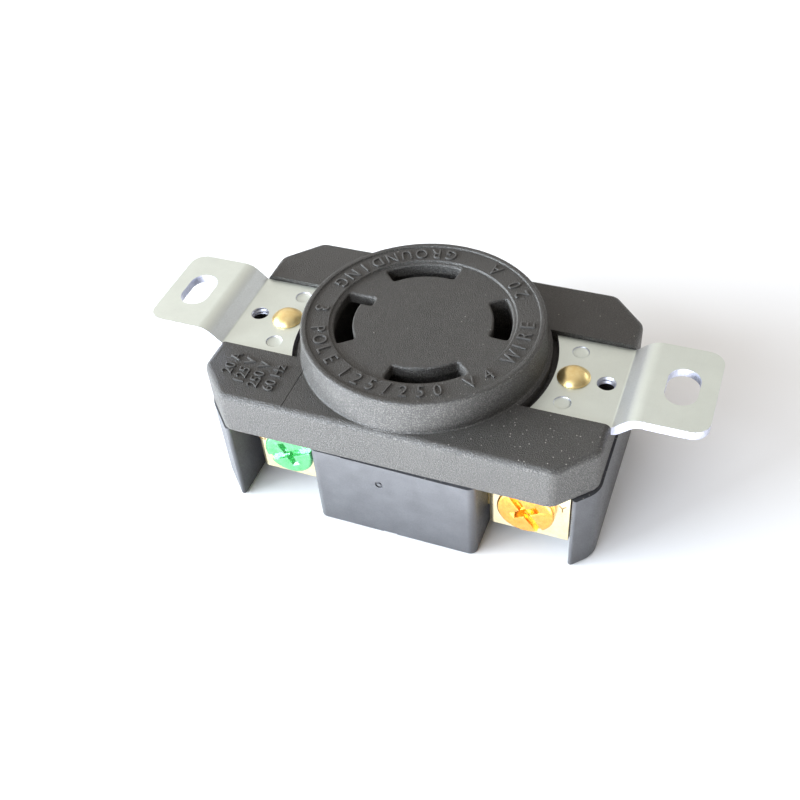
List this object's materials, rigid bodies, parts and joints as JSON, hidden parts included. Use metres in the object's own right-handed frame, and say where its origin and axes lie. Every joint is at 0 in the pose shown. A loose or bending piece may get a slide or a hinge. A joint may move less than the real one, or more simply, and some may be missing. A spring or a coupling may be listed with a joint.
{
  "type": "locking receptacle",
  "caption": "Flush-mount four-wire locking power receptacle on two zinc-plated ears, with side clamp terminals for hot, neutral and ground wires.",
  "frame": {"origin": "centre of the overall box, at the plane of the base's back face", "axes": "+X along the mounting strap towards the ear beside the brass front terminal; +Z out of the face; the ground and first hot terminals are on the -Y side"},
  "size_m": [0.0938, 0.042, 0.0304],
  "materials": {
    "cover_plastic": "fine-grained moulded, charcoal black",
    "base_plastic": "moulded, charcoal black, smoother inside the terminal pockets",
    "zinc_steel": "zinc-plated, satin, slightly greenish",
    "rivet_brass": "polished dome",
    "contact_brass": "stamped strip",
    "spring_bronze": "spring-temper strip",
    "clamp_brass": "bright stamped plate, pale",
    "brass_screw": "glossy orange-gold plating",
    "green_screw": "glossy green",
    "silver_screw": "bright nickel plating",
    "bonding_steel": "zinc-plated strip"
  },
  "bodies": {
    "housing": {"front_cover": "cover_plastic", "rear_base": "base_plastic", "mounting_ear_left": "zinc_steel", "mounting_ear_right": "zinc_steel", "rivet_left": "rivet_brass", "rivet_right": "rivet_brass", "contact_live_x": "contact_brass", "contact_live_y": "contact_brass", "contact_neutral": "contact_brass", "contact_ground": "contact_brass", "bonding_strap": "bonding_steel", "ground_link": "contact_brass"},
    "clamp_live_x": {"clamp_plate_live_x": "clamp_brass"},
    "clamp_live_y": {"clamp_plate_live_y": "clamp_brass"},
    "clamp_neutral": {"clamp_plate_neutral": "clamp_brass"},
    "clamp_ground": {"clamp_plate_ground": "clamp_brass"},
    "screw_live_x": {"terminal_screw_live_x": "brass_screw"},
    "screw_live_y": {"terminal_screw_live_y": "brass_screw"},
    "screw_neutral": {"terminal_screw_neutral": "silver_screw"},
    "screw_ground": {"terminal_screw_ground": "green_screw"},
    "leaf_live_x": {"spring_leaf_live_x": "spring_bronze"},
    "leaf_live_y": {"spring_leaf_live_y": "spring_bronze"},
    "leaf_neutral": {"spring_leaf_neutral": "spring_bronze"},
    "leaf_ground": {"spring_leaf_ground": "spring_bronze"}
  },
  "joints": [
    {"name": "clamp_travel_live_x", "type": "slide", "parent": "housing", "child": "clamp_live_x", "axis": [0, -1, 0], "range_m": [-0.00175, 0.0017]},
    {"name": "clamp_travel_live_y", "type": "slide", "parent": "housing", "child": "clamp_live_y", "axis": [0, 1, 0], "range_m": [-0.00175, 0.0017]},
    {"name": "clamp_travel_neutral", "type": "slide", "parent": "housing", "child": "clamp_neutral", "axis": [0, 1, 0], "range_m": [-0.00175, 0.0017]},
    {"name": "clamp_travel_ground", "type": "slide", "parent": "housing", "child": "clamp_ground", "axis": [0, -1, 0], "range_m": [-0.00175, 0.0017]},
    {"name": "screw_turn_live_x", "type": "hinge", "parent": "clamp_live_x", "child": "screw_live_x", "pos_m": [0.0227, -0.019, 0.01175], "axis": [0, -1, 0], "range_deg": [-794, 772]},
    {"name": "screw_turn_live_y", "type": "hinge", "parent": "clamp_live_y", "child": "screw_live_y", "pos_m": [-0.0227, 0.019, 0.01175], "axis": [0, 1, 0], "range_deg": [-794, 772]},
    {"name": "screw_turn_neutral", "type": "hinge", "parent": "clamp_neutral", "child": "screw_neutral", "pos_m": [0.0179, 0.019, 0.01175], "axis": [0, 1, 0], "range_deg": [-794, 772]},
    {"name": "screw_turn_ground", "type": "hinge", "parent": "clamp_ground", "child": "screw_ground", "pos_m": [-0.0179, -0.019, 0.01175], "axis": [0, -1, 0], "range_deg": [-794, 772]},
    {"name": "leaf_flex_live_x", "type": "hinge", "parent": "housing", "child": "leaf_live_x", "pos_m": [0.0004, -0.01159, 0.0043], "axis": [-0.9994, -0.0349, 0], "range_deg": [0, 3.5], "stiffness_Nm_per_rad": 1},
    {"name": "leaf_flex_live_y", "type": "hinge", "parent": "housing", "child": "leaf_live_y", "pos_m": [-0.0004, 0.01159, 0.0043], "axis": [0.9994, 0.0349, 0], "range_deg": [0, 3.5], "stiffness_Nm_per_rad": 1},
    {"name": "leaf_flex_neutral", "type": "hinge", "parent": "housing", "child": "leaf_neutral", "pos_m": [0.0116, 0, 0.0043], "axis": [0, -1, 0], "range_deg": [0, 3.5], "stiffness_Nm_per_rad": 1},
    {"name": "leaf_flex_ground", "type": "hinge", "parent": "housing", "child": "leaf_ground", "pos_m": [-0.0116, 0, 0.0043], "axis": [0, 1, 0], "range_deg": [0, 3.5], "stiffness_Nm_per_rad": 1}
  ],
  "couplings": [
    {"joint": "screw_turn_live_x", "follows": "clamp_travel_live_x", "rad_per_m": 7915.8},
    {"joint": "screw_turn_live_y", "follows": "clamp_travel_live_y", "rad_per_m": 7915.8},
    {"joint": "screw_turn_neutral", "follows": "clamp_travel_neutral", "rad_per_m": 7915.8},
    {"joint": "screw_turn_ground", "follows": "clamp_travel_ground", "rad_per_m": 7915.8}
  ]
}
